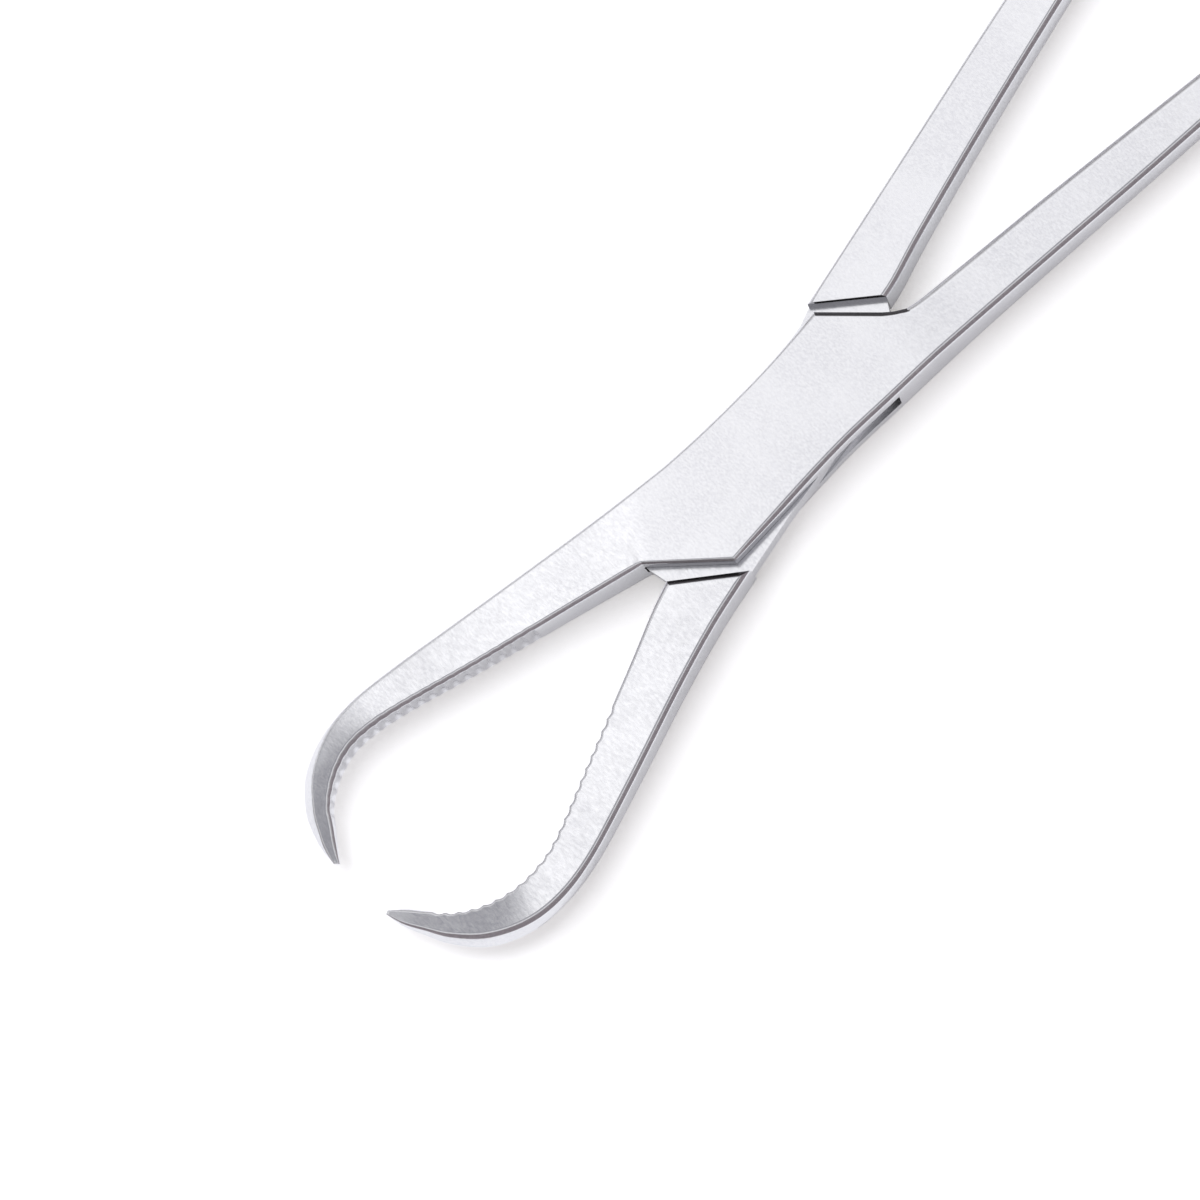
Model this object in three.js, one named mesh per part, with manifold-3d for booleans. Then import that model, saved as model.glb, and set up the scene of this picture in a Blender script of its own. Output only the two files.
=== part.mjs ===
// Pointed, serrated bone reduction forceps with a box lock, 200 mm long.
//
// Three pieces: the box arm (female), the tongue arm (male) that passes through it, and the rivet
// that joins them. Millimetres, +Z up. The origin is on the pivot's axis, in the lower face of the
// box lock. The jaws point to -X and the finger rings to +X; +Y is the side of the box arm's jaw.
// Each arm is drawn as it lies when the forceps is shut, and is then turned open about the pivot.

import * as THREE from 'three';
import { mergeVertices } from 'three/addons/utils/BufferGeometryUtils.js';
import Module from 'manifold-3d';

const wasm = await Module();
wasm.setup();

// ---------------------------------------------------------------- driving dimensions

const REST_ANGLE = THREE.MathUtils.degToRad(3.3); // each arm's turn from shut

const BOX_THICKNESS = 6.7;
const MID = BOX_THICKNESS / 2; // height of the plane that halves both arms

// Cheeks and shoulders end on slanting lines, y = offset + slope * x.
const CHEEK_ENDS = { front: { offset: -16.42, slope: -0.953 }, rear: { offset: 18.0, slope: -1.06 } };
const SHOULDERS = { front: { offset: -17.607, slope: -1 }, rear: { offset: 18.98, slope: -1.085 } };
const SLOT_HEIGHT = 2.8;
const TONGUE_THICKNESS = 2.6;
// The slot in plan, anticlockwise. It stands clear of the box wherever it leaves it.
const SLOT_OUTLINE = [
  [11.15, -9], [11.15, -5.35], [16.9, -1.35], [17.6, -0.2], [17.7, 0.6], [17, 3], [12, 9],
  [-11.15, 9], [-11.15, 5.35], [-17.7, 2.75], [-17.8, 0.2], [-17, -3], [-12, -9],
];

const PIN_RADIUS = 1.6;
const PIN_CLEARANCE = 0.05;
const PIN_SIDES = 48;

const TOOTH_PITCH = 1.3;
const TOOTH_DEPTH = 0.3;
const TEETH = 22;
const PLAIN_TIP = 4.6; // inner edge of the claw, from its point to the first tooth

const RING_CENTRE = new THREE.Vector2(124.6, 16.3);
const RING_STOCK_RADIUS = 2;
const RING_HALF_LENGTH = 15; // pivot line of the ring's stock, along the arm
const RING_HALF_WIDTH = 13;
const RING_SPLAY = THREE.MathUtils.degToRad(7);

const RATCHET_X = 99.5; // the edge of the ratchet bar nearer the lock
const RATCHET_WIDTH = 5;
const RATCHET_ROOT = 11.2; // where the bar leaves its shank, from the arm's axis
const RATCHET_TIP = 7.3; // how far it crosses to the other side
const RATCHET_HALF_GAP = 0.12; // tooth crest to the middle plane
const RATCHET_OUTER = 1.95; // back of the bar to the middle plane
const RATCHET_TEETH = 7;
const RATCHET_PITCH = 1.6;
const RATCHET_DEPTH = 0.7;

const STEEL = { color: 0xe4e3e8, roughness: 0.34, metalness: 1 };

const onLine = (x, { offset, slope }) => [x, offset + slope * x];
const onCheekEnd = (x) => onLine(x, x > 0 ? CHEEK_ENDS.rear : CHEEK_ENDS.front);
const onShoulder = (x) => onLine(x, x > 0 ? SHOULDERS.rear : SHOULDERS.front);

// Cross-sections of the forgings, in order along the arm. Each one is a cut through the arm:
// [upper edge x, y, lower edge x, y, thickness, chamfer].

const BOX_ARM_JAW = [
  [-59.5, 1.8, -59.05, 1.35, 0.6, 0.1],
  [-59.42, 3.3, -58.15, 2.6, 1.1, 0.3],
  [-59.05, 5.0, -57.0, 4.15, 1.7, 0.5],
  [-57.97, 7.5, -55.55, 6.05, 2.35, 0.7],
  [-55.35, 10.2, -53.1, 7.65, 3.1, 0.8],
  [-51.4, 11.8, -50.3, 8.45, 3.78, 0.6],
  [-47.3, 11.85, -47.2, 8.3, 4.2, 0.45],
  [-42.0, 11.1, -43.2, 7.4, 4.45, 0.45],
  [-34.5, 9.75, -35.5, 5.2, 5.0, 0.45],
  [-24.7, 8.05, -25.7, 2.6, 5.75, 0.45],
  [-17.5, 6.85, -19.2, 0.85, 6.45, 0.45],
  [-13.3, 6.25, ...onCheekEnd(-17.7), BOX_THICKNESS, 0.35],
];
const BOX_ARM_CHEEKS = [
  [-9.6, 5.8, ...onCheekEnd(-11.2), BOX_THICKNESS, 0.35],
  [-5.3, 5.55, -5.0, -5.55, BOX_THICKNESS, 0.35],
  [0.0, 5.47, 0.0, -5.3, BOX_THICKNESS, 0.35],
  [5.0, 5.58, 5.0, -5.2, BOX_THICKNESS, 0.35],
  [...onCheekEnd(11.2), 10.0, -5.37, BOX_THICKNESS, 0.35],
];
const BOX_ARM_SHANK = [
  [...onCheekEnd(15.75), 14.4, -5.5, BOX_THICKNESS, 0.35],
  [16.95, 0.33, 15.8, -5.55, 6.62, 0.4],
  [18.6, -0.28, 17.5, -5.62, 6.42, 0.45],
  [24.0, -0.8, 23.4, -6.0, 5.75, 0.45],
  [33.5, -1.7, 33.3, -6.68, 5.2, 0.45],
  [43.1, -2.7, 42.8, -7.4, 4.85, 0.5],
  [53.6, -3.85, 53.3, -8.15, 4.62, 0.6],
  [66.0, -5.2, 65.6, -9.45, 4.45, 0.8],
  [80.0, -6.75, 79.6, -11.0, 4.3, 1.0],
  [95.0, -8.25, 94.8, -12.65, 4.2, 1.1],
  [105.0, -8.8, 105.0, -13.3, 4.1, 1.1],
  [111.0, -9.0, 110.6, -12.6, 3.9, 1.1],
];
const TONGUE_ARM_JAW = [
  [-59.0, 1.6, -59.4, 1.45, 0.6, 0.1],
  [-57.65, 0.1, -59.25, -0.5, 1.2, 0.3],
  [-56.4, -1.8, -58.6, -2.7, 1.8, 0.5],
  [-54.75, -3.95, -57.55, -5.5, 2.4, 0.7],
  [-52.5, -5.7, -55.3, -8.65, 3.1, 0.8],
  [-49.8, -6.95, -51.7, -10.85, 3.7, 0.6],
  [-46.8, -7.5, -47.6, -11.7, 4.03, 0.45],
  [-43.2, -7.25, -42.5, -11.4, 4.2, 0.45],
  [-35.5, -5.15, -34.5, -9.88, 4.55, 0.45],
  [-25.7, -2.5, -24.7, -7.85, 5.1, 0.45],
  [-20.6, -1.05, -17.6, -6.65, 5.55, 0.45],
  [...onShoulder(-17.35), ...onShoulder(-11.55), 5.7, 0.35],
];
const TONGUE_ARM_SHANK = [
  [...onShoulder(12.1), ...onShoulder(17.3), 5.7, 0.35],
  [16.5, 6.3, 19.5, 0.45, 5.6, 0.45],
  [23.8, 7.08, 24.4, 1.33, 5.35, 0.45],
  [33.5, 8.12, 34.0, 2.8, 5.0, 0.45],
  [43.3, 9.22, 43.8, 4.08, 4.78, 0.5],
  [53.4, 10.25, 53.8, 5.25, 4.6, 0.6],
  [65.8, 11.35, 66.2, 6.6, 4.45, 0.8],
  [79.8, 12.4, 80.2, 7.95, 4.3, 1.0],
  [95.0, 13.2, 95.2, 8.8, 4.2, 1.1],
  [105.0, 13.45, 105.0, 8.95, 4.1, 1.1],
  [110.6, 12.6, 111.0, 9.0, 3.9, 1.1],
];

const JAW_STEPS = 9; // plain stretch of a jaw, teeth to box
const SHANK_STEPS = 22;
const CHEEK_STEPS = 8;

// ---------------------------------------------------------------- solids

function solid(geometry) {
  const bare = new THREE.BufferGeometry();
  bare.setAttribute('position', geometry.getAttribute('position'));
  bare.setIndex(geometry.getIndex());
  const merged = mergeVertices(bare, 1e-4);
  return new wasm.Manifold(new wasm.Mesh({
    numProp: 3,
    vertProperties: Float32Array.from(merged.getAttribute('position').array),
    triVerts: Uint32Array.from(merged.getIndex().array),
  }));
}

function geometryOf(manifold) {
  const mesh = manifold.getMesh();
  const geometry = new THREE.BufferGeometry();
  geometry.setAttribute('position', new THREE.BufferAttribute(mesh.vertProperties, mesh.numProp));
  geometry.setIndex(new THREE.BufferAttribute(mesh.triVerts, 1));
  geometry.computeVertexNormals();
  return geometry;
}

// Smooth curves through a list of cross-sections, all on one parameter.
function blend(rows) {
  const curve = (a, b) => new THREE.SplineCurve(rows.map((row) => new THREE.Vector2(row[a], row[b])));
  const upper = curve(0, 1);
  const lower = curve(2, 3);
  const sizes = curve(4, 5);
  const at = (t) => {
    const { x: thickness, y: chamfer } = sizes.getPoint(t);
    return { upper: upper.getPoint(t), lower: lower.getPoint(t), thickness, chamfer, bite: {} };
  };
  return { upper, lower, at };
}

function stretch(rows, steps) {
  const blended = blend(rows);
  return Array.from({ length: steps + 1 }, (_, i) => blended.at(i / steps));
}

// A jaw from its point to the box. The teeth are bites out of the inner edge, half a pitch apart
// from crest to root, measured along that edge.
function jaw(rows, innerEdge) {
  const blended = blend(rows);
  const inner = blended[innerEdge];
  const length = inner.getLength();
  const serrated = TEETH * TOOTH_PITCH;
  const rest = length - PLAIN_TIP - serrated;
  const station = (distance, bite = 0) => {
    const cut = blended.at(inner.getUtoTmapping(distance / length));
    cut.bite[innerEdge] = bite;
    return cut;
  };
  const tip = [0, 0.3, 0.6, 0.85].map((part) => station(part * PLAIN_TIP));
  const teeth = Array.from({ length: 2 * TEETH + 1 }, (_, i) => (
    station(PLAIN_TIP + (i * TOOTH_PITCH) / 2, i % 2 === 1 ? TOOTH_DEPTH : 0)
  ));
  const plain = Array.from({ length: JAW_STEPS }, (_, i) => (
    station(PLAIN_TIP + serrated + (rest * (i + 1)) / JAW_STEPS)
  ));
  return [...tip, ...teeth, ...plain];
}

// A flat forging with chamfered edges: a plan outline whose thickness changes along the arm.
function forging(stations) {
  const outline = [
    ...stations.map((s) => ({ point: s.lower, bite: s.bite.lower ?? 0, station: s })),
    ...stations.toReversed().map((s) => ({ point: s.upper, bite: s.bite.upper ?? 0, station: s })),
  ];
  const count = outline.length;
  const normalOf = (from, to) => new THREE.Vector2(to.y - from.y, from.x - to.x).normalize();
  const mitres = outline.map(({ point }, i) => {
    const before = normalOf(outline[(i + count - 1) % count].point, point);
    const after = normalOf(point, outline[(i + 1) % count].point);
    return before.clone().add(after).divideScalar(1 + before.dot(after));
  });
  const rings = [
    { side: -1, edge: true },
    { side: -1, edge: false },
    { side: 1, edge: false },
    { side: 1, edge: true },
  ];
  const positions = rings.flatMap(({ side, edge }) => outline.flatMap(({ point, bite, station }, i) => {
    const { thickness, chamfer } = station;
    const place = point.clone().addScaledVector(mitres[i], edge ? -chamfer : -bite);
    return [place.x, place.y, MID + side * (thickness / 2 - (edge ? 0 : chamfer))];
  }));
  const triangles = [];
  for (let ring = 0; ring < rings.length - 1; ring += 1) {
    for (let i = 0; i < count; i += 1) {
      const a = ring * count + i;
      const b = ring * count + ((i + 1) % count);
      triangles.push(a, b, b + count, a, b + count, a + count);
    }
  }
  const top = (rings.length - 1) * count;
  for (let i = 0; i < stations.length - 1; i += 1) {
    const across = count - 1 - i;
    triangles.push(top + i, top + i + 1, top + across - 1, top + i, top + across - 1, top + across);
    triangles.push(i, across - 1, i + 1, i, across, across - 1);
  }
  const geometry = new THREE.BufferGeometry();
  geometry.setAttribute('position', new THREE.Float32BufferAttribute(positions, 3));
  geometry.setIndex(triangles);
  return solid(geometry);
}

// A flat plate in mid-height on an outline given anticlockwise.
function plate(outline, height) {
  const shape = new THREE.Shape(outline.map(([x, y]) => new THREE.Vector2(x, y)));
  const geometry = new THREE.ExtrudeGeometry(shape, { depth: height, bevelEnabled: false });
  geometry.translate(0, 0, MID - height / 2);
  return solid(geometry);
}

function pinShape(radius, height) {
  const geometry = new THREE.CylinderGeometry(radius, radius, height, PIN_SIDES);
  geometry.rotateX(Math.PI / 2);
  geometry.translate(0, 0, MID);
  return geometry;
}

const pinHole = () => solid(pinShape(PIN_RADIUS + PIN_CLEARANCE, 2 * BOX_THICKNESS));

// The tongue is flush with the sides of the box when shut, and let into jaw and shank. A heel at
// each inner corner fills the slot's mouth in the crotch beside it.
function tongue() {
  const rearEnd = [
    onShoulder(12.1), [14.9, 4.7], onShoulder(17.25), [16.4, -0.75], [15.2, -2.2], [10.9, -5.3],
  ];
  const lowerSide = [[5.0, -5.15], [0.0, -5.25], [-5.0, -5.45]];
  const frontEnd = [
    onShoulder(-11.6), [-14.9, -4.7], onShoulder(-17.3), [-17.5, 2.3], [-15.0, 3.4], [-10.9, 5.3],
  ];
  const upperSide = [[-5.0, 5.4], [0.0, 5.32], [5.0, 5.33], [8.0, 5.27], [10.1, 5.36]];
  return plate([...rearEnd, ...lowerSide, ...frontEnd, ...upperSide].toReversed(), TONGUE_THICKNESS);
}

function fingerRing(side) {
  const geometry = new THREE.TorusGeometry(RING_HALF_WIDTH, RING_STOCK_RADIUS, 10, 40);
  geometry.scale(RING_HALF_LENGTH / RING_HALF_WIDTH, 1, 1);
  geometry.rotateZ(side * RING_SPLAY);
  geometry.translate(RING_CENTRE.x, side * RING_CENTRE.y, MID);
  return solid(geometry);
}

// A ratchet bar: a saw-toothed strip that crosses to the other shank. The bar on the -Y side has
// its teeth on top. The one on the +Y side is the same bar turned over about X.
function ratchetBar(side) {
  const crest = -RATCHET_HALF_GAP;
  const profile = [[-RATCHET_ROOT, -RATCHET_OUTER], [RATCHET_TIP, -RATCHET_OUTER]];
  for (let i = 0; i < RATCHET_TEETH; i += 1) {
    const start = RATCHET_TIP - i * RATCHET_PITCH;
    profile.push([start, crest - RATCHET_DEPTH]);
    profile.push([start - RATCHET_PITCH, crest]);
  }
  profile.push([-RATCHET_ROOT, crest]);
  const shape = new THREE.Shape(profile.map(([y, z]) => new THREE.Vector2(y, z)));
  const geometry = new THREE.ExtrudeGeometry(shape, { depth: RATCHET_WIDTH, bevelEnabled: false });
  // The profile's axes become Y and Z, and the extrusion runs along X.
  geometry.applyMatrix4(new THREE.Matrix4().set(
    0, 0, 1, RATCHET_X,
    1, 0, 0, 0,
    0, 1, 0, 0,
    0, 0, 0, 1,
  ));
  geometry.rotateX(side > 0 ? Math.PI : 0);
  geometry.translate(0, 0, MID);
  return solid(geometry);
}

// ---------------------------------------------------------------- the three pieces

function boxArm() {
  const blade = forging([
    ...jaw(BOX_ARM_JAW, 'lower'),
    ...stretch(BOX_ARM_CHEEKS, CHEEK_STEPS),
    ...stretch(BOX_ARM_SHANK, SHANK_STEPS),
  ]);
  const slot = plate(SLOT_OUTLINE, SLOT_HEIGHT);
  return blade.subtract(slot).add(fingerRing(-1)).add(ratchetBar(-1)).subtract(pinHole());
}

function tongueArm() {
  const jawBlade = forging(jaw(TONGUE_ARM_JAW, 'upper'));
  const shankBlade = forging(stretch(TONGUE_ARM_SHANK, SHANK_STEPS));
  return jawBlade.add(shankBlade).add(tongue()).add(fingerRing(1)).add(ratchetBar(1)).subtract(pinHole());
}

function piece(name, geometry) {
  const mesh = new THREE.Mesh(geometry, new THREE.MeshStandardMaterial(STEEL));
  mesh.name = name;
  return mesh;
}

const forceps = new THREE.Group();

const femaleSide = new THREE.Group();
femaleSide.rotation.z = -REST_ANGLE;
femaleSide.add(piece('box_arm', geometryOf(boxArm())));
femaleSide.add(piece('pivot_pin', pinShape(PIN_RADIUS, BOX_THICKNESS)));

const maleSide = new THREE.Group();
maleSide.rotation.z = REST_ANGLE;
maleSide.add(piece('tongue_arm', geometryOf(tongueArm())));

forceps.add(femaleSide, maleSide);

export default forceps;
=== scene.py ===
"""Looks of the box-lock bone reduction forceps: two forged steel arms and their rivet.

The arms are built here again at full quality, in the places that the CAD part gives them. Sizes
are in millimetres, as on a workshop drawing, and are turned into metres where a mesh is made.
Each arm is drawn as it lies when the forceps is shut, and is then turned open about the pivot.
"""

import math

import bmesh
import bpy
import numpy as np
from mathutils import Matrix, Vector

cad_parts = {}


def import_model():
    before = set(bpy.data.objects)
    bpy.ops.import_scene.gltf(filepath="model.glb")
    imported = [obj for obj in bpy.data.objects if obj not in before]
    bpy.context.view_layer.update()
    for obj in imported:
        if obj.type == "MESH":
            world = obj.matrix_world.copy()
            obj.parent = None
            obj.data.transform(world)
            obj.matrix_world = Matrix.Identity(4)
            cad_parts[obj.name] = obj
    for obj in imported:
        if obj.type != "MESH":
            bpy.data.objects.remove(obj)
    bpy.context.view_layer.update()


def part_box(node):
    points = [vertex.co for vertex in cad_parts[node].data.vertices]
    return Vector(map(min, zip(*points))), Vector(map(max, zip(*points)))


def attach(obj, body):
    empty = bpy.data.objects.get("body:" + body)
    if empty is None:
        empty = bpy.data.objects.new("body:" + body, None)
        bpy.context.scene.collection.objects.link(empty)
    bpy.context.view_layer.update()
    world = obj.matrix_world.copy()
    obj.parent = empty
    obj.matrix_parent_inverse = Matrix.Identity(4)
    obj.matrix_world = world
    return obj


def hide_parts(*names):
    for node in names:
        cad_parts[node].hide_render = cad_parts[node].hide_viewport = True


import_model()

MM = 0.001

# ---------------------------------------------------------------- driving dimensions

REST_ANGLE = math.radians(3.3)  # each arm's turn from shut

pin_low, pin_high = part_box("pivot_pin")
BOX_THICKNESS = (pin_high.z - pin_low.z) / MM
MID = BOX_THICKNESS / 2
PIN_RADIUS = 1.6
PIN_HAIRLINE = 0.003  # the gap round the rivet that shows

# Cheeks and shoulders end on slanting lines: offset and slope, in front and at the rear.
CHEEK_ENDS = ((-16.42, -0.953), (18.0, -1.06))
SHOULDERS = ((-17.607, -1.0), (18.98, -1.085))
SLOT_HEIGHT = 2.8
SLOT_OUTLINE = (
    (11.15, -9.0),
    (11.15, -5.35),
    (16.9, -1.35),
    (17.6, -0.2),
    (17.7, 0.6),
    (17.0, 3.0),
    (12.0, 9.0),
    (-11.15, 9.0),
    (-11.15, 5.35),
    (-17.7, 2.75),
    (-17.8, 0.2),
    (-17.0, -3.0),
    (-12.0, -9.0),
)
TONGUE_THICKNESS = 2.6

TOOTH_PITCH = 1.3
TOOTH_DEPTH = 0.36
TOOTH_RUN_OUT = 0.5  # depth below the bevel where a tooth is fully cut
TOOTH_TOP_SHARE = {"lower": 0.1, "upper": 0.45, None: 0.0}  # how deep it still is at the bevel
TEETH = 22
PLAIN_TIP = 4.6  # inner edge of the claw, from its point to the first tooth
TOOTH_PROFILE = (0.0, 0.3, 0.65, 0.9, 1.0, 0.9, 0.65, 0.3)  # shares of the depth, across one tooth

RING_CENTRE = (124.6, 16.3)
RING_STOCK_RADIUS = 2.0
RING_HALF_LENGTH = 15.0  # middle line of the ring's stock, along the arm
RING_HALF_WIDTH = 13.0
RING_SPLAY = math.radians(7)

RATCHET_X = 99.5
RATCHET_WIDTH = 5.0
RATCHET_ROOT = 11.2  # from the middle line to the bar's end inside the shank
RATCHET_TIP = 7.3  # from the middle line to its free end, on the other side
RATCHET_CORNER = 1.3
RATCHET_CORNER_STEPS = 6
RATCHET_HALF_GAP = 0.12  # middle plane to the teeth's crests
RATCHET_OUTER = 1.95  # middle plane to the bar's smooth face
RATCHET_BLANK_TOP = 0.2  # middle plane to the uncut bar's other face
RATCHET_TEETH = 7
RATCHET_PITCH = 1.6
RATCHET_DEPTH = 0.7
CUTTER_STOP = 3.4  # the cutter stops this short of the bar's root
CUTTER_MARGIN = 1.0
CUTTER_HEIGHT = 3.0

JOIN_X = 94.0  # where the plain shank meets the ring end, which is shaped apart
JOIN_GAP = 0.3


def on_cheek_end(x):
    offset, slope = CHEEK_ENDS[x > 0]
    return x, offset + slope * x


def on_shoulder(x):
    offset, slope = SHOULDERS[x > 0]
    return x, offset + slope * x


# Cross-sections of the forgings, in order along the arm. Each one is a cut through the arm:
# upper edge x, y, lower edge x, y, thickness, then for the upper and the lower edge in turn the
# width of its bevel, and last how far the flank of each leans in from the middle plane.
BOX_ARM_JAW = (
    (-59.5, 1.8, -59.05, 1.35, 0.6, 0.09, 0.1, 0.04, 0.04),
    (-59.42, 3.3, -58.15, 2.6, 1.1, 0.24, 0.3, 0.35, 0.15),
    (-59.05, 5.0, -57.0, 4.15, 1.7, 0.2, 0.34, 0.76, 0.15),
    (-57.97, 7.5, -55.55, 6.05, 2.35, 0.22, 0.38, 1.1, 0.12),
    (-55.35, 10.2, -53.1, 7.65, 3.1, 0.24, 0.46, 1.04, 0.08),
    (-51.4, 11.8, -50.3, 8.45, 3.78, 0.26, 0.5, 0.68, 0.05),
    (-47.3, 11.85, -47.2, 8.3, 4.2, 0.28, 0.5, 0.22, 0.0),
    (-42.0, 11.1, -43.2, 7.4, 4.45, 0.3, 0.44, 0.04, 0.0),
    (-34.5, 9.75, -35.5, 5.2, 5.0, 0.28, 0.4, 0.0, 0.0),
    (-24.7, 8.05, -25.7, 2.6, 5.75, 0.28, 0.4, 0.0, 0.0),
    (-17.5, 6.85, -19.2, 0.85, 6.45, 0.28, 0.38, 0.0, 0.0),
    (-13.3, 6.25, *on_cheek_end(-17.7), BOX_THICKNESS, 0.28, 0.26, 0.0, 0.0),
)
BOX_ARM_CHEEKS = (
    (-9.6, 5.8, *on_cheek_end(-11.2), BOX_THICKNESS, 0.28, 0.3, 0.0, 0.0),
    (-5.3, 5.55, -5.0, -5.55, BOX_THICKNESS, 0.28, 0.45, 0.0, 0.0),
    (0.0, 5.47, 0.0, -5.3, BOX_THICKNESS, 0.28, 0.45, 0.0, 0.0),
    (5.0, 5.58, 5.0, -5.2, BOX_THICKNESS, 0.28, 0.45, 0.0, 0.0),
    (*on_cheek_end(11.2), 10.0, -5.37, BOX_THICKNESS, 0.42, 0.45, 0.0, 0.0),
)
BOX_ARM_SHANK = (
    (*on_cheek_end(15.75), 14.4, -5.5, BOX_THICKNESS, 0.44, 0.45, 0.0, 0.0),
    (16.95, 0.33, 15.8, -5.55, 6.62, 0.4, 0.45, 0.0, 0.0),
    (18.6, -0.28, 17.5, -5.62, 6.42, 0.48, 0.45, 0.0, 0.0),
    (24.0, -0.8, 23.4, -6.0, 5.75, 0.52, 0.45, 0.0, 0.05),
    (33.5, -1.7, 33.3, -6.68, 5.2, 0.52, 0.45, 0.0, 0.05),
    (43.1, -2.7, 42.8, -7.4, 4.85, 0.52, 0.45, 0.05, 0.1),
    (53.6, -3.85, 53.3, -8.15, 4.62, 0.55, 0.5, 0.1, 0.15),
    (66.0, -5.2, 65.6, -9.45, 4.45, 0.7, 0.7, 0.2, 0.2),
    (80.0, -6.75, 79.6, -11.0, 4.3, 0.9, 0.9, 0.25, 0.25),
    (95.0, -8.25, 94.8, -12.65, 4.2, 1.0, 1.0, 0.3, 0.3),
    (105.0, -8.8, 105.0, -13.3, 4.1, 1.0, 1.0, 0.3, 0.3),
    (111.0, -9.0, 110.6, -12.6, 3.9, 1.0, 1.0, 0.3, 0.3),
)
TONGUE_ARM_JAW = (
    (-59.0, 1.6, -59.4, 1.45, 0.6, 0.07, 0.08, 0.04, 0.04),
    (-57.65, 0.1, -59.25, -0.5, 1.2, 0.2, 0.24, 0.15, 0.3),
    (-56.4, -1.8, -58.6, -2.7, 1.8, 0.16, 0.3, 0.15, 0.6),
    (-54.75, -3.95, -57.55, -5.5, 2.4, 0.17, 0.4, 0.12, 0.92),
    (-52.5, -5.7, -55.3, -8.65, 3.1, 0.2, 0.48, 0.1, 1.1),
    (-49.8, -6.95, -51.7, -10.85, 3.7, 0.22, 0.52, 0.08, 0.75),
    (-46.8, -7.5, -47.6, -11.7, 4.03, 0.22, 0.5, 0.04, 0.35),
    (-43.2, -7.25, -42.5, -11.4, 4.2, 0.24, 0.45, 0.0, 0.08),
    (-35.5, -5.15, -34.5, -9.88, 4.55, 0.24, 0.45, 0.0, 0.0),
    (-25.7, -2.5, -24.7, -7.85, 5.1, 0.26, 0.45, 0.0, 0.0),
    (-20.6, -1.05, -17.6, -6.65, 5.55, 0.3, 0.45, 0.0, 0.0),
    (*on_shoulder(-17.35), *on_shoulder(-11.55), 5.7, 0.45, 0.46, 0.0, 0.0),
)
TONGUE_ARM_SHANK = (
    (*on_shoulder(12.1), *on_shoulder(17.3), 5.7, 0.3, 0.4, 0.0, 0.0),
    (16.5, 6.3, 19.5, 0.45, 5.6, 0.28, 0.45, 0.0, 0.0),
    (23.8, 7.08, 24.4, 1.33, 5.35, 0.3, 0.45, 0.0, 0.05),
    (33.5, 8.12, 34.0, 2.8, 5.0, 0.3, 0.45, 0.0, 0.05),
    (43.3, 9.22, 43.8, 4.08, 4.78, 0.32, 0.45, 0.05, 0.1),
    (53.4, 10.25, 53.8, 5.25, 4.6, 0.4, 0.5, 0.1, 0.15),
    (65.8, 11.35, 66.2, 6.6, 4.45, 0.65, 0.7, 0.2, 0.2),
    (79.8, 12.4, 80.2, 7.95, 4.3, 0.9, 0.9, 0.25, 0.25),
    (95.0, 13.2, 95.2, 8.8, 4.2, 1.0, 1.0, 0.3, 0.3),
    (105.0, 13.45, 105.0, 8.95, 4.1, 1.0, 1.0, 0.3, 0.3),
    (110.6, 12.6, 111.0, 9.0, 3.9, 1.0, 1.0, 0.3, 0.3),
)

UPPER = slice(0, 2)
LOWER = slice(2, 4)
THICKNESS = 4
BEVEL = {"upper": 5, "lower": 6}
LEAN = {"upper": 7, "lower": 8}

CURVE_SAMPLES = 600  # points that a jaw's inner edge is measured by
# How finely the stretches of an arm are divided into cross-sections.
TIP_STEPS = 30
PLAIN_STEPS = 50  # from the last tooth to the box
CHEEK_STEPS = 48
CHEEK_END_STEPS = 8
SHANK_STEPS = 150
RING_END_STEPS = 40
RING_END_START = 0.72  # how far along the shank its ring end starts, as a share

FLANK_STEPS = 4  # middle plane to the start of an edge's bevel
CORNER_STEPS = 3  # steps round each of a bevel's two corners
BEVEL_DROP = 0.8  # a bevel's height for its width
BEVEL_SOFTNESS = 0.22  # how much of the bevel, and of the faces beside it, its corners take
FLAT_MARGIN = 0.08  # a narrow strip of the face beside each bevel keeps its shading flat
LEAN_POWER = 1.15  # above 1, a leaning flank gets flatter towards the face
SHOULDER_SHARE = 0.35  # the rear shoulder's bevel, for the width of the shank's
MITRE_ROOM = 1.8  # how far from a sharp corner the next cross-section is
FACE_COLUMNS = 3  # lines of points along a face, between its two edges

# Painted shade in the seams: the slants at which it starts and is full, and how strong it is then.
SEAM_REAR = (0.1, 0.25, 1.0)  # on what faces the finger rings
SEAM_FRONT = (0.35, 0.57, 0.5)  # on what faces the points
SEAM_REACH = 0.9  # how far from the line of a seam it goes
SEAM_SPAN = (10.8, 17.7)  # distances along the arm between which the seams lie
SEAM_TURN = 0.35  # how far from square to the seam a surface may face, as a slope

SHARP_ABOVE = math.radians(32)  # edges that smooth shading stops at
WELD_DISTANCE = 1e-7  # metres

# ---------------------------------------------------------------- steel

DARK_STEEL = (0.84, 0.84, 0.865, 1)
BRIGHT_STEEL = (0.91, 0.91, 0.93, 1)
SPECKLE_STEEL = (0.96, 0.96, 0.97, 1)
MARKED_STEEL = (0.7, 0.7, 0.73, 1)
# painted shade in the seams of the box lock
SEAM_SHADE = (0.07, 0.065, 0.07, 1)
SPECKLE_SHARE = 0.8
MARKED_SHARE = 0.3
# how strongly the painted seam shade covers the steel
SEAM_SHADE_SHARE = 0.95
ROUGHNESS = (0.15, 0.21)
BUMP_STRENGTH = 0.14
BUMP_DEPTH = 0.00002

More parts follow.
